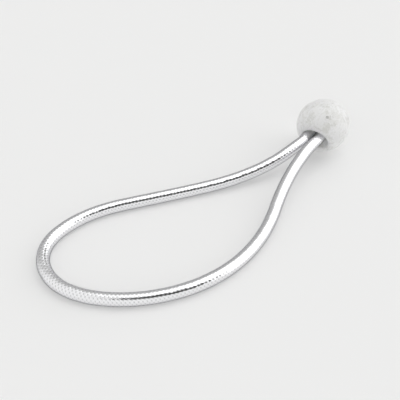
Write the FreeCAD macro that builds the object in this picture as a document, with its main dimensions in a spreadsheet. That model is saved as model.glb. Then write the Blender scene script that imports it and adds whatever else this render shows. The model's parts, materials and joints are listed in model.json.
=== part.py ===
"""Ball-end elastic loop tie: a doubled elastic cord whose two ends are crimped together inside a ball.

Millimetres, +Z up. The tie lies on a table at Z = 0. The origin is the point of the table under the
ball's centre. The bore of the ball points along +X towards the loop and dips a little to the table.
"""

import FreeCAD, Part

import math
import os

from FreeCAD import Placement, Rotation, Vector
from Sketcher import Constraint

doc = FreeCAD.newDocument("elastic_loop_tie")

# ---------------------------------------------------------------- driving dimensions

SIZES = {
    # ball, measured along its own bore
    "ball_dia": 25.0,
    "flat_reach": 9.6,
    "bore_dia": 12.8,
    "lip_round": 1.0,
    "seat_reach": 2.5,
    "seat_dia": 13.6,
    "rear_round": 0.5,
    "bore_fall": 0.35,
    # cord
    "cord_dia": 5.5,
    "core_space_dia": 4.2,
    "strand_dia": 1.3,
    "strand_ring_dia": 2.76,
    "tail_offset": 3.0,
    # sleeve crimped over the two tails
    "sleeve_length": 4.8,
    "sleeve_wall": 0.9,
    "sleeve_fit": 0.05,
    "sleeve_back": 2.6,
    "crimp_width": 1.4,
    "crimp_depth": 0.35,
    # melted ends of the tails
    "tip_length": 1.1,
    "tip_round": 0.8,
}

sheet = doc.addObject("Spreadsheet::Sheet", "sizes")
for row, (alias, value) in enumerate(SIZES.items(), start=1):
    sheet.set(f"A{row}", alias)
    sheet.set(f"B{row}", str(value))
    sheet.setAlias(f"B{row}", alias)
doc.recompute()

# Route of the cord's centreline: out of the ball, round the loop on the table and back into the ball.
# The first two and the last two points lie on the dipped bore's own direction.
ROUTE = [
    (-7.6, 3.0, 15.16),
    (0.2, 3.0, 12.43),
    (8.6, 2.45, 11.95),
    (16.0, 1.4, 12.1),
    (23.0, 0.4, 10.9),
    (36.0, -0.1, 8.3),
    (50.0, 1.1, 5.6),
    (65.0, 4.1, 3.5),
    (80.0, 4.5, 2.75),
    (95.0, 1.9, 2.75),
    (109.0, -4.5, 2.75),
    (120.4, -13.7, 2.75),
    (129.6, -25.2, 2.75),
    (136.0, -39.2, 2.75),
    (136.9, -53.0, 2.75),
    (131.0, -64.4, 2.75),
    (120.2, -70.2, 2.75),
    (106.5, -68.6, 2.75),
    (92.8, -62.0, 2.75),
    (78.7, -49.3, 2.75),
    (64.6, -36.7, 2.75),
    (51.8, -25.4, 3.2),
    (39.7, -16.2, 4.9),
    (29.5, -9.9, 7.3),
    (20.2, -6.0, 9.6),
    (11.0, -3.1, 10.85),
    (1.4, -3.0, 12.01),
    (-7.6, -3.0, 15.16),
]

# Share of the shorter run beside a point that its arc takes up on each side.
ARC_SHARE = 0.45


# ---------------------------------------------------------------- helpers


def origin_feature(body, role):
    """The origin plane or axis of a body, such as YZ_Plane."""
    for feature in body.Origin.OriginFeatures:
        if feature.Role == role:
            return feature
    raise ValueError(role)


def add_body(label):
    body = doc.addObject("PartDesign::Body", label)
    body.Label = label
    return body


def add_sketch(body, name, plane):
    sketch = body.newObject("Sketcher::SketchObject", name)
    sketch.AttachmentSupport = (origin_feature(body, plane), [""])
    sketch.MapMode = "FlatFace"
    return sketch


def bind(target, **expressions):
    for path, expression in expressions.items():
        target.setExpression(path, expression)


def value_of(sketch, expression):
    return float(sketch.evalExpression(expression))


def add_dimension(sketch, name, expression, kind, *references):
    """A named dimension of a sketch that follows an expression on the sheet."""
    index = sketch.addConstraint(Constraint(kind, *references, value_of(sketch, expression)))
    sketch.renameConstraint(index, name)
    sketch.setExpression(f"Constraints.{name}", expression)


def add_circle(sketch, name, expression):
    """A circle about the sketch's origin whose diameter follows an expression."""
    circle = sketch.addGeometry(Part.Circle(Vector(), Vector(0, 0, 1), 1.0), False)
    sketch.addConstraint(Constraint("Coincident", circle, 3, -1, 1))
    add_dimension(sketch, name, expression, "Diameter", circle)


def round_edges(body, feature, name, wanted, expression):
    """Fillet the edges of a feature that the test picks out."""
    doc.recompute()
    edges = [f"Edge{i}" for i, edge in enumerate(feature.Shape.Edges, start=1) if wanted(edge)]
    fillet = body.newObject("PartDesign::Fillet", name)
    fillet.Base = (feature, edges)
    fillet.setExpression("Radius", expression)
    return fillet


def is_ring(edge, radius, reach):
    """Whether an edge is a whole circle of this radius at this place along the body's X."""
    curve = edge.Curve
    return (
        isinstance(curve, Part.Circle)
        and abs(curve.Radius - radius) < 1e-4
        and abs(curve.Center.x - reach) < 1e-4
    )


def add_stadium(sketch, name, half_gap_expression, radius_expression):
    """A slot outline across the sketch, centred on its origin, with round ends."""
    quarter = math.pi / 2
    half_gap = value_of(sketch, half_gap_expression)
    radius = value_of(sketch, radius_expression)
    right_circle = Part.Circle(Vector(half_gap, 0, 0), Vector(0, 0, 1), radius)
    left_circle = Part.Circle(Vector(-half_gap, 0, 0), Vector(0, 0, 1), radius)
    right = sketch.addGeometry(Part.ArcOfCircle(right_circle, -quarter, quarter), False)
    left = sketch.addGeometry(Part.ArcOfCircle(left_circle, quarter, 3 * quarter), False)
    top_edge = Part.LineSegment(Vector(half_gap, radius, 0), Vector(-half_gap, radius, 0))
    bottom_edge = Part.LineSegment(Vector(-half_gap, -radius, 0), Vector(half_gap, -radius, 0))
    top = sketch.addGeometry(top_edge, False)
    bottom = sketch.addGeometry(bottom_edge, False)
    sketch.addConstraint(Constraint("Tangent", right, 2, top, 1))
    sketch.addConstraint(Constraint("Tangent", top, 2, left, 1))
    sketch.addConstraint(Constraint("Tangent", left, 2, bottom, 1))
    sketch.addConstraint(Constraint("Tangent", bottom, 2, right, 1))
    sketch.addConstraint(Constraint("Symmetric", left, 3, right, 3, -1, 1))
    sketch.addConstraint(Constraint("PointOnObject", right, 3, -1))
    add_dimension(sketch, f"{name}_gap", half_gap_expression, "DistanceX", -1, 1, right, 3)
    add_dimension(sketch, f"{name}_radius", radius_expression, "Radius", right)


def add_rectangle(sketch, name, x, y, width, height):
    """An upright rectangle in the sketch's left half; x is how far left its low corner stands."""
    low = Vector(-value_of(sketch, x), value_of(sketch, y), 0)
    right = Vector(value_of(sketch, width), 0, 0)
    up = Vector(0, value_of(sketch, height), 0)
    corners = [low, low + right, low + right + up, low + up]
    sides = []
    for start, end in zip(corners, corners[1:] + corners[:1]):
        sides.append(sketch.addGeometry(Part.LineSegment(start, end), False))
    for side, following in zip(sides, sides[1:] + sides[:1]):
        sketch.addConstraint(Constraint("Coincident", side, 2, following, 1))
    for side, direction in zip(sides, ("Horizontal", "Vertical", "Horizontal", "Vertical")):
        sketch.addConstraint(Constraint(direction, side))
    add_dimension(sketch, f"{name}_x", x, "DistanceX", sides[0], 1, -1, 1)
    add_dimension(sketch, f"{name}_y", y, "DistanceY", -1, 1, sides[0], 1)
    add_dimension(sketch, f"{name}_width", width, "DistanceX", sides[0], 1, sides[0], 2)
    add_dimension(sketch, f"{name}_height", height, "DistanceY", sides[1], 1, sides[1], 2)


# ---------------------------------------------------------------- ball and what the bore holds


def make_ball():
    """Moulded ball with a flat at each end of its bore, and a wider seat bored in from the back."""
    body = add_body("ball")

    outline = add_sketch(body, "ball_outline", "XY_Plane")
    radius = value_of(outline, "sizes.ball_dia / 2")
    reach = value_of(outline, "sizes.flat_reach")
    rise = math.sqrt(radius**2 - reach**2)
    half_angle = math.atan2(rise, reach)
    circle = Part.Circle(Vector(), Vector(0, 0, 1), radius)
    crown = outline.addGeometry(Part.ArcOfCircle(circle, half_angle, math.pi - half_angle), False)
    corners = [Vector(-reach, rise, 0), Vector(-reach, 0, 0), Vector(reach, 0, 0), Vector(reach, rise, 0)]
    back, axis, front = [
        outline.addGeometry(Part.LineSegment(start, end), False) for start, end in zip(corners, corners[1:])
    ]
    outline.addConstraint(Constraint("Coincident", crown, 3, -1, 1))
    outline.addConstraint(Constraint("Coincident", crown, 2, back, 1))
    outline.addConstraint(Constraint("Coincident", back, 2, axis, 1))
    outline.addConstraint(Constraint("Coincident", axis, 2, front, 1))
    outline.addConstraint(Constraint("Coincident", front, 2, crown, 1))
    outline.addConstraint(Constraint("PointOnObject", back, 2, -1))
    outline.addConstraint(Constraint("Horizontal", axis))
    outline.addConstraint(Constraint("Vertical", back))
    outline.addConstraint(Constraint("Vertical", front))
    add_dimension(outline, "ball_radius", "sizes.ball_dia / 2", "Radius", crown)
    add_dimension(outline, "front_reach", "sizes.flat_reach", "DistanceX", -1, 1, axis, 2)
    add_dimension(outline, "back_reach", "sizes.flat_reach", "DistanceX", axis, 1, -1, 1)
    turned = body.newObject("PartDesign::Revolution", "turned_ball")
    turned.Profile = outline
    turned.ReferenceAxis = (outline, ["H_Axis"])
    turned.Angle = 360.0

    bore_sketch = add_sketch(body, "bore_outline", "YZ_Plane")
    add_circle(bore_sketch, "bore", "sizes.bore_dia")
    bore = body.newObject("PartDesign::Pocket", "bore")
    bore.Profile = bore_sketch
    bore.SideType = "Symmetric"
    bore.Type = "ThroughAll"

    seat_sketch = add_sketch(body, "seat_outline", "YZ_Plane")
    seat_sketch.setExpression("AttachmentOffset.Base.z", "-sizes.seat_reach")
    add_circle(seat_sketch, "seat", "sizes.seat_dia")
    seat = body.newObject("PartDesign::Pocket", "sleeve_seat")
    seat.Profile = seat_sketch
    seat.Type = "ThroughAll"

    lip = round_edges(
        body,
        seat,
        "mouth_lip",
        lambda edge: is_ring(edge, sheet.bore_dia / 2, sheet.flat_reach),
        "sizes.lip_round",
    )
    round_edges(
        body,
        lip,
        "rear_lip",
        lambda edge: is_ring(edge, sheet.seat_dia / 2, -sheet.flat_reach),
        "sizes.rear_round",
    )
    return body


def make_crimp_sleeve():
    """Oval sleeve over both tails, squeezed by one dent across each flat side."""
    body = add_body("crimp_sleeve")

    section = add_sketch(body, "sleeve_section", "YZ_Plane")
    section.setExpression("AttachmentOffset.Base.z", "-sizes.sleeve_back")
    hole = "sizes.cord_dia / 2 + sizes.sleeve_fit"
    add_stadium(section, "outside", "sizes.tail_offset", f"{hole} + sizes.sleeve_wall")
    add_stadium(section, "hole", "sizes.tail_offset", hole)
    tube = body.newObject("PartDesign::Pad", "sleeve_tube")
    tube.Profile = section
    tube.Reversed = True
    tube.setExpression("Length", "sizes.sleeve_length")

    dents = add_sketch(body, "dent_outlines", "XZ_Plane")
    middle = "sizes.sleeve_back + sizes.sleeve_length / 2 + sizes.crimp_width / 2"
    crest = f"{hole} + sizes.sleeve_wall"
    add_rectangle(dents, "top_dent", middle, f"{crest} - sizes.crimp_depth", "sizes.crimp_width", "1")
    add_rectangle(dents, "low_dent", middle, f"0 - ({crest}) - 1 + sizes.crimp_depth", "sizes.crimp_width", "1")
    crimp = body.newObject("PartDesign::Pocket", "crimp_dents")
    crimp.Profile = dents
    crimp.SideType = "Symmetric"
    crimp.Type = "ThroughAll"
    return body


def make_sealed_tip(label):
    """Melted end of a tail, a low dome that faces backwards."""
    body = add_body(label)
    outline = add_sketch(body, f"{label}_outline", "YZ_Plane")
    add_circle(outline, "cord", "sizes.cord_dia")
    disc = body.newObject("PartDesign::Pad", f"{label}_disc")
    disc.Profile = outline
    disc.Reversed = True
    disc.setExpression("Length", "sizes.tip_length")
    round_edges(
        body,
        disc,
        f"{label}_dome",
        lambda edge: is_ring(edge, sheet.cord_dia / 2, -sheet.tip_length),
        "sizes.tip_round",
    )
    return body


# ---------------------------------------------------------------- cord


def directions_of(points):
    return [(end - start).normalize() for start, end in zip(points, points[1:])]


def turn_radii(points):
    """The radius of the arc at each inner point of a route, set by the shorter run beside it."""
    headings = directions_of(points)
    radii = []
    for index in range(1, len(points) - 1):
        half_turn = headings[index - 1].getAngle(headings[index]) / 2
        before = points[index].distanceToPoint(points[index - 1])
        after = points[index].distanceToPoint(points[index + 1])
        radii.append(ARC_SHARE * min(before, after) / math.tan(half_turn))
    return radii


def route_wire(points, radii):
    """Straight runs joined by tangent arcs."""
    headings = directions_of(points)
    edges = []
    start = points[0]
    for point, radius, before, after in zip(points[1:-1], radii, headings, headings[1:]):
        half_turn = before.getAngle(after) / 2
        setback = radius * math.tan(half_turn)
        towards_centre = (after - before).normalize()
        arc_start = point - before * setback
        arc_middle = point + towards_centre * (radius / math.cos(half_turn) - radius)
        arc_end = point + after * setback
        edges.append(Part.LineSegment(start, arc_start).toShape())
        edges.append(Part.Arc(arc_start, arc_middle, arc_end).toShape())
        start = arc_end
    edges.append(Part.LineSegment(start, points[-1]).toShape())
    return Part.Wire(edges)


def beside_route(points, radii, offset):
    """The route, and its arcs' radii, of a strand that keeps its place inside the cord.

    The offset is square to the first run and turns with the cord, without twisting about it.
    """
    headings = directions_of(points)
    strand_points = [points[0] + offset]
    strand_radii = []
    for point, radius, before, after in zip(points[1:-1], radii, headings, headings[1:]):
        mitre = before + after
        slide = -offset.dot(mitre) / before.dot(mitre)
        strand_points.append(point + offset + before * slide)
        inwards = (after - before * after.dot(before)).normalize()
        strand_radii.append(radius - offset.dot(inwards))
        offset = Rotation(before, after).multVec(offset)
    strand_points.append(points[-1] + offset)
    return strand_points, strand_radii


def rod_along(wire, radius):
    """A round solid swept along a wire."""
    first = wire.Edges[0]
    heading = first.tangentAt(first.FirstParameter)
    section = Part.Wire(Part.Circle(wire.Vertexes[0].Point, heading, radius).toShape())
    return wire.makePipeShell([section], True, False)


def add_shape(label, shape):
    feature = doc.addObject("Part::Feature", label)
    feature.Label = label
    feature.Shape = shape
    feature.Placement = Placement()
    return feature


def compare_with_length(label, shape, section_area, wire):
    expected = section_area * wire.Length
    print(f"{label}: length {wire.Length:.1f}, volume {shape.Volume:.1f}, section x length {expected:.1f}")


def make_cord():
    """The braided cover as one long tube, and the rubber strands that lie parallel inside it."""
    points = [Vector(*point) for point in ROUTE]
    radii = turn_radii(points)
    print("arc radii:", " ".join(f"{radius:.0f}" for radius in radii))
    wire = route_wire(points, radii)
    outer_radius = sheet.cord_dia / 2
    inner_radius = sheet.core_space_dia / 2
    cover = rod_along(wire, outer_radius).cut(rod_along(wire, inner_radius))
    pieces = [add_shape("cord_sheath", cover)]
    cover_area = math.pi * (outer_radius**2 - inner_radius**2)
    compare_with_length("cord_sheath", cover, cover_area, wire)

    heading = (points[1] - points[0]).normalize()
    across = Vector(0, 1, 0)
    upright = heading.cross(across)
    strand_radius = sheet.strand_dia / 2
    offsets = [Vector()]
    for place in range(6):
        angle = math.radians(60 * place + 30)
        ring = across * math.cos(angle) + upright * math.sin(angle)
        offsets.append(ring * (sheet.strand_ring_dia / 2))
    for number, offset in enumerate(offsets, start=1):
        label = f"core_strand_{number}"
        strand_wire = route_wire(*beside_route(points, radii, offset))
        strand = rod_along(strand_wire, strand_radius)
        compare_with_length(label, strand, math.pi * strand_radius**2, strand_wire)
        pieces.append(add_shape(label, strand))
    return pieces


# ---------------------------------------------------------------- build, check and write


def check_document(pieces):
    failed = [item.Name for item in doc.Objects if {"Invalid", "Error"} & set(item.State)]
    if failed:
        raise RuntimeError(f"objects that failed: {failed}")
    for piece in pieces:
        if piece.Shape.isNull() or not piece.Shape.isValid() or len(piece.Shape.Solids) != 1:
            raise RuntimeError(f"bad shape: {piece.Label}")
        print(f"{piece.Label}: {piece.Shape.Volume:.2f} mm3, {piece.Shape.BoundBox}")


ball = make_ball()
sleeve = make_crimp_sleeve()
near_tip = make_sealed_tip("sealed_tip_near")
far_tip = make_sealed_tip("sealed_tip_far")
cord = make_cord()

dip = Rotation(Vector(0, 1, 0), math.degrees(math.atan(sheet.bore_fall)))
ball_rest = Placement(Vector(0, 0, sheet.ball_dia / 2), dip)
ball.Placement = ball_rest
sleeve.Placement = ball_rest
near_tip.Placement = Placement(Vector(*ROUTE[0]), dip)
far_tip.Placement = Placement(Vector(*ROUTE[-1]), dip)

doc.recompute()
all_pieces = [ball, sleeve, near_tip, far_tip, *cord]
check_document(all_pieces)

os.makedirs("parts", exist_ok=True)
for piece in all_pieces:
    piece.Shape.exportStep(f"parts/{piece.Label}.step")
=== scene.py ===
"""Ball-end elastic loop tie: looks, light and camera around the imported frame. Metres, +Z up."""

import json
import math

import bmesh
import bpy
import numpy as np
from mathutils import Matrix, Vector


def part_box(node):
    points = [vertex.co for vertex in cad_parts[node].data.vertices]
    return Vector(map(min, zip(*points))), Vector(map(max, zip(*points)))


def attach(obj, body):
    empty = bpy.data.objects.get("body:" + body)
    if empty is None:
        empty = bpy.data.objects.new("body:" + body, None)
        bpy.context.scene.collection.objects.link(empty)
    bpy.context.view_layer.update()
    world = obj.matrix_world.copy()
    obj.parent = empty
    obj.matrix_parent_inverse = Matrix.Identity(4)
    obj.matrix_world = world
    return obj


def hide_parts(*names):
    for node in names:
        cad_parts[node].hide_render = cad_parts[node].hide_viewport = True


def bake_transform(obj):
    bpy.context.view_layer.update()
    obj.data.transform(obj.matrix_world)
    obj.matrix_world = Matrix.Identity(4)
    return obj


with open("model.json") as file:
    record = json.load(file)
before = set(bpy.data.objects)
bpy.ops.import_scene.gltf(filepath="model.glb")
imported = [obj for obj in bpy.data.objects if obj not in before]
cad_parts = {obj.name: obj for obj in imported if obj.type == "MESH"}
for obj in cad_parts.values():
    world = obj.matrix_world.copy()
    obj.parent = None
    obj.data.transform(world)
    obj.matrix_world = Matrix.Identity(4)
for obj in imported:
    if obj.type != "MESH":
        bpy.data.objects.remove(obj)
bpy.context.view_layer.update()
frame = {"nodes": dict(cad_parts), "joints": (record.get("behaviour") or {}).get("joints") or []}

MM = 0.001

# ---------------------------------------------------------------- places and sizes

ball_low, ball_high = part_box("ball")
BALL_RADIUS = (ball_high.z - ball_low.z) / 2
BALL_CENTRE = Vector((0, 0, BALL_RADIUS))

tails_pull = next(joint for joint in frame["joints"] if joint["name"] == "tails_pull")
BORE = -Vector(tails_pull["axis"]).normalized()  # out of the mouth
BORE_SIDE = Vector((0, 1, 0))

CORD_DIAMETER = 5.5 * MM
STRAND_COUNT = 7  # one in the middle and a ring of six round it
STRAND_DIAMETER = 1.3 * MM
STRAND_RING = 2.76 * MM  # across the centres of opposite threads

# How finely the cord is drawn.
CORD_STEP = 0.30 * MM
BRAID_SIDES = 64
STRAND_SIDES = 12
STRAND_ROW_STEP = 4  # a thread has a ring of points at every fourth step

# The braid. Its depth is the height of a yarn's back above the gap beside it.
YARNS_EACH_WAY = 8
YARN_PITCH = 1.55 * MM
YARN_ROUNDNESS = 0.85
OVER_UNDER = 0.38
BRAID_DEPTH = 0.10 * MM

# Where the yarns are slacker, the cover sinks in, in patches of two lengths that wind round the cord.
SLACK_SHORT = 3.7 * MM
SLACK_LONG = 9.1 * MM
SLACK_TWIST = 11.0 * MM
SLACK_DEPTH = 0.06 * MM

# The mark of the moulding gate, with its azimuth and elevation from the ball's centre in degrees.
GATE_RADIUS = 0.65 * MM
GATE_HEIGHT = 0.30 * MM
GATE_DIRECTION = (28, 52)

# The cord's route, the same points as in the part's source.
ROUTE_MM = [
    (-7.6, 3.0, 15.16),
    (0.2, 3.0, 12.43),
    (8.6, 2.45, 11.95),
    (16.0, 1.4, 12.1),
    (23.0, 0.4, 10.9),
    (36.0, -0.1, 8.3),
    (50.0, 1.1, 5.6),
    (65.0, 4.1, 3.5),
    (80.0, 4.5, 2.75),
    (95.0, 1.9, 2.75),
    (109.0, -4.5, 2.75),
    (120.4, -13.7, 2.75),
    (129.6, -25.2, 2.75),
    (136.0, -39.2, 2.75),
    (136.9, -53.0, 2.75),
    (131.0, -64.4, 2.75),
    (120.2, -70.2, 2.75),
    (106.5, -68.6, 2.75),
    (92.8, -62.0, 2.75),
    (78.7, -49.3, 2.75),
    (64.6, -36.7, 2.75),
    (51.8, -25.4, 3.2),
    (39.7, -16.2, 4.9),
    (29.5, -9.9, 7.3),
    (20.2, -6.0, 9.6),
    (11.0, -3.1, 10.85),
    (1.4, -3.0, 12.01),
    (-7.6, -3.0, 15.16),
]
ROUTE = [Vector(point) * MM for point in ROUTE_MM]

# Along the bore from the ball's centre: forward to where the visible pieces meet, and back to the sleeve.
SPLIT_REACH = 1.5 * MM

# Parts of the light tent: middle azimuth and elevation, full out to, gone at (all in degrees), brightness.
# The first is the shaded cloth low on one side, the next two are bright panels, the rest are dark gaps.
TENT_GREY = 0.92
TENT_PARTS = [
    (235, 10, 20, 58, 0.50),
    (150, 58, 14, 44, 1.9),
    (130, 25, 18, 44, 1.5),
    (46, 60, 12, 22, 0.04),
    (74, 46, 11, 19, 0.04),
    (183, 39, 6, 13, 0.05),
]
TABLE_GLOW = 0.215
TABLE_SIZE = 6.0


# ---------------------------------------------------------------- small helpers


def srgb(code):
    """An sRGB hex colour as linear RGBA."""
    channels = [int(code[i : i + 2], 16) / 255 for i in (1, 3, 5)]
    linear = [c / 12.92 if c <= 0.04045 else ((c + 0.055) / 1.055) ** 2.4 for c in channels]
    return (*linear, 1.0)


def add_node(tree, kind, links=None, **settings):
    """Adds a node. links: input name or number -> socket or value; settings: the node's own properties."""
    node = tree.nodes.new(kind)
    for name, value in settings.items():
        setattr(node, name, value)
    for name, value in (links or {}).items():
        if isinstance(value, bpy.types.NodeSocket):
            tree.links.new(value, node.inputs[name])
        else:
            node.inputs[name].default_value = value
    return node


def direction(azimuth, elevation):
    """A unit vector from two angles in degrees; azimuth 0 is +X and 90 is +Y."""
    turn, rise = math.radians(azimuth), math.radians(elevation)
    return Vector((math.cos(rise) * math.cos(turn), math.cos(rise) * math.sin(turn), math.sin(rise)))


def new_material(name):
    material = bpy.data.materials.new(name)
    material.use_nodes = True
    material.node_tree.nodes.clear()
    return material, material.node_tree


def finish_material(tree, surface):
    add_node(tree, "ShaderNodeOutputMaterial", {"Surface": surface})


def add_piece(name, vertices, faces, material):
    mesh = bpy.data.meshes.new(name)
    mesh.from_pydata([tuple(v) for v in vertices], [], faces)
    mesh.update()
    piece = bpy.data.objects.new(name, mesh)
    bpy.context.scene.collection.objects.link(piece)
    mesh.materials.append(material)
    mesh.shade_smooth()
    return piece


# ---------------------------------------------------------------- camera

CAMERA_PLACE = Vector((242.15, 74.03, 185.89)) * MM
CAMERA_AIM = Vector((64.24, -30.69, 0.0)) * MM
CAMERA_LENS = 56.0


def make_camera():
    data = bpy.data.cameras.new("camera")
    data.lens = CAMERA_LENS
    data.sensor_width = 36.0
    data.clip_start = 0.01
    data.clip_end = 20.0
    camera = bpy.data.objects.new("camera", data)
    bpy.context.scene.collection.objects.link(camera)
    camera.location = CAMERA_PLACE
    camera.rotation_mode = "QUATERNION"
    camera.rotation_quaternion = (CAMERA_AIM - CAMERA_PLACE).to_track_quat("-Z", "Y")
    bpy.context.scene.camera = camera


# ---------------------------------------------------------------- materials


def metallised_polyester_braid():
    """Flat polyester yarn with a vapour-deposited aluminium skin, braided fine.

    It shines like soft metal, and its highlights break up at every crossing of the yarns.
    The gaps between the yarns are painted darker in the base colour, as painted shade, because their sides
    turn away from the light.
    """
    material, tree = new_material("metallised_polyester_braid")
    uv = add_node(tree, "ShaderNodeUVMap", uv_map="around_along")
    # Filaments are about 0.03 mm wide; they are drawn at 0.25 mm, the finest that still shows.
    grain = add_node(
        tree,
        "ShaderNodeTexNoise",
        {"Vector": uv.outputs["UV"], "Scale": 4000.0, "Detail": 2.0, "Roughness": 0.6},
    )
    lift = add_node(tree, "ShaderNodeAttribute", attribute_name="yarn_lift")
    # The base colour mixes random grain with painted shade: it is darker where the yarn_lift height is
    # low, in the gaps between yarns.
    grain_and_gap_shade = add_node(
        tree,
        "ShaderNodeMath",
        {0: grain.outputs["Fac"], 1: 0.35, 2: lift.outputs["Fac"]},
        operation="MULTIPLY_ADD",
    )
    tone = add_node(tree, "ShaderNodeValToRGB", {"Fac": grain_and_gap_shade.outputs["Value"]})
    tone.color_ramp.elements[0].position = 0.35
    tone.color_ramp.elements[0].color = srgb("#a9aaad")
    tone.color_ramp.elements[1].position = 0.85
    tone.color_ramp.elements[1].color = srgb("#f4f4f6")
    bump = add_node(
        tree, "ShaderNodeBump", {"Height": grain.outputs["Fac"], "Strength": 0.1, "Distance": 0.00005}
    )
    shader = add_node(
        tree,
        "ShaderNodeBsdfPrincipled",
        {
            "Base Color": tone.outputs["Color"],
            "Metallic": 1.0,
            "Roughness": 0.18,
            "Specular Tint": srgb("#7a7b7e"),
            "Normal": bump.outputs["Normal"],
        },
    )
    finish_material(tree, shader.outputs["BSDF"])
    return material


def frosted_polypropylene():
    """Natural polypropylene, injection moulded in an etched tool: milky and translucent, with a matt skin.

    Thick natural polypropylene is cloudy inside, so the clouds are a few millimetres wide.
    """
    material, tree = new_material("frosted_polypropylene")
    place = add_node(tree, "ShaderNodeTexCoord")
    # Clouds 4 mm wide, and specks 0.6 mm wide among them.
    clouds = add_node(
        tree,
        "ShaderNodeTexNoise",
        {
            "Vector": place.outputs["Object"],
            "Scale": 250.0,
            "Detail": 3.0,
            "Roughness": 0.6,
            "Distortion": 0.8,
        },
    )
    specks = add_node(
        tree,
        "ShaderNodeTexNoise",
        {"Vector": place.outputs["Object"], "Scale": 1600.0, "Detail": 2.0, "Roughness": 0.5},
    )
    both = add_node(
        tree,
        "ShaderNodeMath",
        {0: specks.outputs["Fac"], 1: 0.4, 2: clouds.outputs["Fac"]},
        operation="MULTIPLY_ADD",
    )
    tone = add_node(tree, "ShaderNodeValToRGB", {"Fac": both.outputs["Value"]})
    tone.color_ramp.elements[0].position = 0.52
    tone.color_ramp.elements[0].color = srgb("#e2e2df")
    tone.color_ramp.elements[1].position = 0.76
    tone.color_ramp.elements[1].color = srgb("#ffffff")
    # The etched skin has a grain of about 0.1 mm, drawn at 0.3 mm.
    skin = add_node(
        tree,
        "ShaderNodeTexNoise",
        {"Vector": place.outputs["Object"], "Scale": 3300.0, "Detail": 2.0},
    )
    bump = add_node(
        tree, "ShaderNodeBump", {"Height": skin.outputs["Fac"], "Strength": 0.15, "Distance": 0.0001}
    )
    shader = add_node(
        tree,
        "ShaderNodeBsdfPrincipled",
        {
            "Base Color": tone.outputs["Color"],
            "Roughness": 0.42,
            "IOR": 1.49,
            "Transmission Weight": 0.15,
            "Subsurface Weight": 1.0,
            "Subsurface Radius": (1.0, 1.0, 0.97),
            "Subsurface Scale": 0.006,
            "Normal": bump.outputs["Normal"],
        },
    )
    finish_material(tree, shader.outputs["BSDF"])
    return material


def sheared_polypropylene():
    """The same plastic where the gate was cut off: torn, greyer, and a little dirty in the dimple."""
    material, tree = new_material("sheared_polypropylene")
    place = add_node(tree, "ShaderNodeTexCoord")
    tears = add_node(
        tree, "ShaderNodeTexNoise", {"Vector": place.outputs["Object"], "Scale": 4000.0, "Detail": 3.0}
    )
    tone = add_node(tree, "ShaderNodeValToRGB", {"Fac": tears.outputs["Fac"]})
    tone.color_ramp.elements[0].position = 0.35
    tone.color_ramp.elements[0].color = srgb("#8d8d8a")
    tone.color_ramp.elements[1].position = 0.7
    tone.color_ramp.elements[1].color = srgb("#d2d2ce")
    shader = add_node(
        tree,
        "ShaderNodeBsdfPrincipled",
        {"Base Color": tone.outputs["Color"], "Roughness": 0.6, "IOR": 1.49},
    )
    finish_material(tree, shader.outputs["BSDF"])
    return material


def natural_latex():
    """Extruded latex thread, matt and slightly yellow."""
    material, tree = new_material("natural_latex")
    place = add_node(tree, "ShaderNodeTexCoord")
    grain = add_node(
        tree, "ShaderNodeTexNoise", {"Vector": place.outputs["Object"], "Scale": 600.0, "Detail": 3.0}
    )
    tone = add_node(tree, "ShaderNodeValToRGB", {"Fac": grain.outputs["Fac"]})
    tone.color_ramp.elements[0].color = srgb("#cbbd97")
    tone.color_ramp.elements[1].color = srgb("#e2d8b8")
    shader = add_node(
        tree,
        "ShaderNodeBsdfPrincipled",
        {"Base Color": tone.outputs["Color"], "Roughness": 0.6, "IOR": 1.52},
    )
    finish_material(tree, shader.outputs["BSDF"])
    return material


def drawn_aluminium():
    """Soft drawn aluminium tube, squeezed in a tool: satin, with fine marks along it."""
    material, tree = new_material("drawn_aluminium")
    place = add_node(tree, "ShaderNodeTexCoord")
    stretch = add_node(
        tree, "ShaderNodeMapping", {"Vector": place.outputs["Object"], "Scale": (200.0, 3000.0, 3000.0)}
    )
    marks = add_node(tree, "ShaderNodeTexNoise", {"Vector": stretch.outputs["Vector"], "Scale": 1.0})
    rough = add_node(
        tree,
        "ShaderNodeMapRange",
        {"Value": marks.outputs["Fac"], "To Min": 0.25, "To Max": 0.45},
    )
    shader = add_node(
        tree,
        "ShaderNodeBsdfPrincipled",
        {"Base Color": srgb("#d6d8d9"), "Metallic": 1.0, "Roughness": rough.outputs["Result"]},
    )
    finish_material(tree, shader.outputs["BSDF"])
    return material


def melted_polyester():
    """Yarn ends melted into a skin: dull grey, lumpy, with a few glossy beads."""
    material, tree = new_material("melted_polyester")
    place = add_node(tree, "ShaderNodeTexCoord")
    lumps = add_node(
        tree, "ShaderNodeTexNoise", {"Vector": place.outputs["Object"], "Scale": 900.0, "Detail": 3.0}
    )
    tone = add_node(tree, "ShaderNodeValToRGB", {"Fac": lumps.outputs["Fac"]})
    tone.color_ramp.elements[0].color = srgb("#77787a")
    tone.color_ramp.elements[1].color = srgb("#b9babb")
    bump = add_node(
        tree, "ShaderNodeBump", {"Height": lumps.outputs["Fac"], "Strength": 0.5, "Distance": 0.0002}
    )
    shader = add_node(
        tree,
        "ShaderNodeBsdfPrincipled",
        {
            "Base Color": tone.outputs["Color"],
            "Roughness": 0.4,
            "IOR": 1.57,
            "Normal": bump.outputs["Normal"],
        },
    )
    finish_material(tree, shader.outputs["BSDF"])
    return material


def light_table():
    """The top of a light table: matt white acrylic with a little light behind it, so shadows stay soft."""
    material, tree = new_material("light_table")
    shader = add_node(
        tree,
        "ShaderNodeBsdfPrincipled",
        {
            "Base Color": srgb("#d4d4d4"),
            "Roughness": 0.9,
            "Emission Color": srgb("#ffffff"),
            "Emission Strength": TABLE_GLOW,
        },
    )
    finish_material(tree, shader.outputs["BSDF"])
    return material


# ---------------------------------------------------------------- the cord's line


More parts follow.
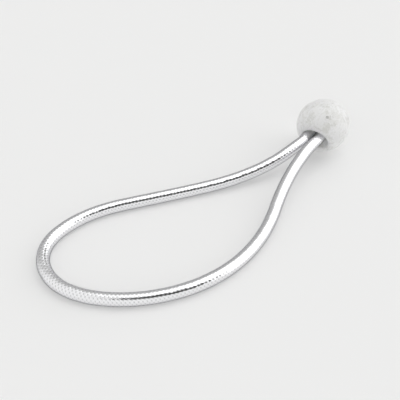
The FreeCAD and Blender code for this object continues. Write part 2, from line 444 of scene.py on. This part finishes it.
def read_route_line():
    """Points along the NURBS spline whose control points are the route."""
    curve = bpy.data.curves.new("route", "CURVE")
    curve.dimensions = "3D"
    curve.resolution_u = 40
    spline = curve.splines.new("NURBS")
    spline.points.add(len(ROUTE) - 1)
    for point, place in zip(spline.points, ROUTE):
        point.co = (*place, 1.0)
    spline.order_u = 3
    spline.use_endpoint_u = True
    holder = bpy.data.objects.new("route", curve)
    bpy.context.scene.collection.objects.link(holder)
    bpy.context.view_layer.update()
    mesh = bpy.data.meshes.new_from_object(holder)
    points = [vertex.co.copy() for vertex in mesh.vertices]
    bpy.data.objects.remove(holder)
    bpy.data.curves.remove(curve)
    bpy.data.meshes.remove(mesh)
    return points


class CordLine:
    """The cord's line, resampled evenly, with a side and an up direction that don't twist."""

    def __init__(self, points, step):
        raw = np.array([tuple(point) for point in points])
        runs = np.linalg.norm(np.diff(raw, axis=0), axis=1)
        keep = np.concatenate([[True], runs > 1e-9])
        raw = raw[keep]
        distance = np.concatenate([[0.0], np.cumsum(np.linalg.norm(np.diff(raw, axis=0), axis=1))])
        self.length = float(distance[-1])
        count = round(self.length / step) + 1
        self.along = np.linspace(0.0, self.length, count)
        self.points = np.stack([np.interp(self.along, distance, raw[:, k]) for k in range(3)], axis=1)
        headings = np.gradient(self.points, axis=0)
        self.headings = headings / np.linalg.norm(headings, axis=1)[:, None]
        side = Vector(BORE_SIDE)
        heading = Vector(self.headings[0])
        sides = []
        for row in self.headings:
            following = Vector(row)
            side = heading.rotation_difference(following) @ side
            side = (side - following * side.dot(following)).normalized()
            heading = following
            sides.append(tuple(side))
        self.sides = np.array(sides)
        self.ups = np.cross(self.headings, self.sides)


def braid_height(angle, along):
    """How far the cover stands out, from 0 in a gap to 1 on a yarn's back.

    Eight yarns wind each way and pass over and under one another.
    """
    turn = YARNS_EACH_WAY * angle / (2 * math.pi)
    left = turn + along / YARN_PITCH
    right = turn - along / YARN_PITCH

    def back(position):
        """The round back across each yarn, 1 in its middle."""
        across = 2 * (position - np.floor(position)) - 1
        return np.sqrt(np.clip(1 - YARN_ROUNDNESS * across**2, 0, 1))

    def lift(swing):
        """The rise and fall of a yarn as it passes over and under the others."""
        return 1 - OVER_UNDER + OVER_UNDER * np.sin(math.pi * swing)

    left_lift = lift(right + np.floor(left))
    right_lift = lift(left + np.floor(right) + 1)
    return np.maximum(left_lift * back(left), right_lift * back(right))


def slack_depth(angle, along):
    """How far the cover sinks in where its yarns are slacker, from -1 to 1, in patches a few mm long."""
    short = np.sin(2 * math.pi * along / SLACK_SHORT + 2 * np.sin(angle + along / SLACK_TWIST))
    long = np.sin(2 * math.pi * along / SLACK_LONG + 1.5 * np.sin(2 * angle - along / SLACK_TWIST))
    return (short + long) / 2


def ring_angles(sides):
    return np.arange(sides) * 2 * math.pi / sides


def ring_points(line, rows, sides, radius, offset, height):
    """A ring of points for each row of the line, shaped by the braid where a height is given."""
    angles = ring_angles(sides)
    along = line.along[rows][:, None]
    reach = np.full((len(rows), sides), radius)
    if height is not None:
        spread = angles[None, :]
        reach = radius - SLACK_DEPTH * (1 + slack_depth(spread, along)) / 2
        reach = reach - BRAID_DEPTH * (1 - height(spread, along))
    across = offset[0] + reach * np.cos(angles)
    upright = offset[1] + reach * np.sin(angles)
    return (
        line.points[rows][:, None, :]
        + across[:, :, None] * line.sides[rows][:, None, :]
        + upright[:, :, None] * line.ups[rows][:, None, :]
    )


def join_rings(rings):
    """Vertices and faces for rings of points, each joined to the next, with a face over each end."""
    count, sides, _ = rings.shape
    vertices = rings.reshape(-1, 3)
    faces = []
    for ring in range(count - 1):
        here = ring * sides
        there = here + sides
        for place in range(sides):
            following = (place + 1) % sides
            faces.append((here + place, here + following, there + following, there + place))
    faces.append(tuple(range(sides))[::-1])
    faces.append(tuple(range((count - 1) * sides, count * sides)))
    return vertices, faces


def add_tube(name, line, rows, sides, radius, material, offset=(0.0, 0.0), height=None):
    """A closed tube along part of the line, with a UV map in metres round it and along it."""
    vertices, faces = join_rings(ring_points(line, rows, sides, radius, offset, height))
    piece = add_piece(name, vertices, faces, material)
    uv_layer = piece.data.uv_layers.new(name="around_along")
    loop_vertices = np.zeros(len(piece.data.loops), dtype=np.int32)
    piece.data.loops.foreach_get("vertex_index", loop_vertices)
    ring = loop_vertices // sides
    around = (loop_vertices % sides) / sides * 2 * math.pi * radius
    coordinates = np.stack([around, line.along[rows][ring]], axis=1)
    uv_layer.data.foreach_set("uv", coordinates.ravel())
    if height is not None:
        lift = height(ring_angles(sides)[None, :], line.along[rows][:, None])
        attribute = piece.data.attributes.new("yarn_lift", "FLOAT", "POINT")
        attribute.data.foreach_set("value", lift.astype(np.float32).ravel())
    return piece


def bend_at_joints(piece, span):
    """Bakes a piece of the cord's placement into its mesh; every span is treated the same."""
    if span == "cord_loop":
        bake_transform(piece)
    else:
        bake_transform(piece)


def make_cord(materials):
    line = CordLine(read_route_line(), CORD_STEP)
    reach = (line.points - np.array(BALL_CENTRE)) @ np.array(BORE)
    outside = np.nonzero(reach > SPLIT_REACH)[0]
    first, last = outside[0], outside[-1]
    spans = {
        "cord_loop": np.arange(first, last + 1),
        "cord_tail_near": np.arange(0, first + 1),
        "cord_tail_far": np.arange(last, len(line.along)),
    }
    pieces = {}
    for span, rows in spans.items():
        pieces[span] = add_tube(
            span, line, rows, BRAID_SIDES, CORD_DIAMETER / 2, materials["braid"], height=braid_height
        )
    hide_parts("cord_sheath")
    for span, piece in pieces.items():
        bend_at_joints(piece, span)

    strands = make_core(line, spans, materials["latex"])


def every_few(rows, step):
    """Every so many rows, and always the last one."""
    few = rows[::step]
    return few if rows[-1] in few else np.append(few, rows[-1])


def make_core(line, spans, latex):
    """The latex threads inside the braid, in the braid's three lengths. Returns the ones in the loop."""
    strands = []
    for number in range(1, STRAND_COUNT + 1):
        turn = math.radians(30 + 60 * (number - 2))
        reach = 0.0 if number == 1 else STRAND_RING / 2
        offset = (reach * math.cos(turn), reach * math.sin(turn))
        for span, rows in spans.items():
            strand = add_tube(
                span.replace("cord", f"core_strand_{number}"),
                line,
                every_few(rows, STRAND_ROW_STEP),
                STRAND_SIDES,
                STRAND_DIAMETER / 2,
                latex,
                offset=offset,
            )
            if span == "cord_loop":
                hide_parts(f"core_strand_{number}")
                strands.append(strand)
            bend_at_joints(strand, span)
    return strands


# ---------------------------------------------------------------- the gate mark on the ball


def select_top(mesh):
    """Selects the faces of a mesh in edit mode that lie above its middle and look up."""
    bm = bmesh.from_edit_mesh(mesh)
    for face in bm.faces:
        face.select = face.normal.z > 0.9 and face.calc_center_median().z > 0
    bmesh.update_edit_mesh(mesh)


def make_gate_mark(material):
    """A low rim, a dimple in it and a sheared pip in that, left where the ball's plastic ran in."""
    bpy.ops.object.select_all(action="DESELECT")
    bpy.ops.mesh.primitive_cylinder_add(vertices=40, radius=GATE_RADIUS, depth=GATE_HEIGHT)
    mark = bpy.context.object
    mark.name = "gate_mark"
    bpy.ops.object.mode_set(mode="EDIT")
    bpy.ops.mesh.select_mode(type="FACE")
    select_top(mark.data)
    bpy.ops.mesh.inset(thickness=GATE_RADIUS * 0.3, depth=0.0)
    bpy.ops.mesh.inset(thickness=GATE_RADIUS * 0.12, depth=-GATE_HEIGHT * 0.35)
    bpy.ops.mesh.inset(thickness=GATE_RADIUS * 0.2, depth=0.0)
    bpy.ops.mesh.inset(thickness=GATE_RADIUS * 0.06, depth=GATE_HEIGHT * 0.3)
    bpy.ops.object.mode_set(mode="OBJECT")
    rim = mark.modifiers.new("rim", "BEVEL")
    rim.width = GATE_HEIGHT * 0.18
    rim.segments = 3
    rim.limit_method = "ANGLE"
    bpy.ops.object.modifier_apply(modifier=rim.name)
    outward = direction(*GATE_DIRECTION)
    place = BALL_CENTRE + outward * (BALL_RADIUS - GATE_HEIGHT * 0.32)
    mark.data.transform(Matrix.Translation(place) @ outward.to_track_quat("Z", "X").to_matrix().to_4x4())
    mark.data.materials.append(material)
    bpy.ops.object.shade_smooth_by_angle(angle=math.radians(40))
    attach(mark, "ball_body")


# ---------------------------------------------------------------- stage and light


def make_floor():
    bpy.ops.object.select_all(action="DESELECT")
    bpy.ops.mesh.primitive_plane_add(size=TABLE_SIZE, location=(0, 0, 0))
    floor = bpy.context.object
    floor.name = "floor"
    floor.data.materials.append(light_table())


def make_light():
    """A light tent: pale cloth, shaded low on one side, with two bright panels and three dark gaps."""
    world = bpy.data.worlds.new("light_tent")
    bpy.context.scene.world = world
    world.use_nodes = True
    tree = world.node_tree
    tree.nodes.clear()
    place = add_node(tree, "ShaderNodeTexCoord")
    brightness = TENT_GREY
    for azimuth, elevation, full_at, gone_at, level in TENT_PARTS:
        nearness = add_node(
            tree,
            "ShaderNodeVectorMath",
            {0: place.outputs["Generated"], 1: direction(azimuth, elevation)},
            operation="DOT_PRODUCT",
        )
        share = add_node(
            tree,
            "ShaderNodeMapRange",
            {
                "Value": nearness.outputs["Value"],
                "From Min": math.cos(math.radians(gone_at)),
                "From Max": math.cos(math.radians(full_at)),
            },
            interpolation_type="SMOOTHSTEP",
        )
        mixed = add_node(
            tree, "ShaderNodeMix", {0: share.outputs["Result"], 2: brightness, 3: level}, data_type="FLOAT"
        )
        brightness = mixed.outputs[0]
    light = add_node(
        tree, "ShaderNodeBackground", {"Color": srgb("#fdfdfc"), "Strength": brightness}
    )
    add_node(tree, "ShaderNodeOutputWorld", {"Surface": light.outputs["Background"]})
    bpy.context.scene.view_settings.view_transform = "Standard"


# ---------------------------------------------------------------- build

make_camera()
materials = {
    "braid": metallised_polyester_braid(),
    "ball": frosted_polypropylene(),
    "gate": sheared_polypropylene(),
    "latex": natural_latex(),
    "sleeve": drawn_aluminium(),
    "melted": melted_polyester(),
}
make_cord(materials)
make_gate_mark(materials["gate"])
make_floor()
make_light()

for node, key in (
    ("ball", "ball"),
    ("crimp_sleeve", "sleeve"),
    ("sealed_tip_near", "melted"),
    ("sealed_tip_far", "melted"),
):
    cad_piece = frame["nodes"][node]
    for place in cad_piece.material_slots:
        place.material = materials[key]
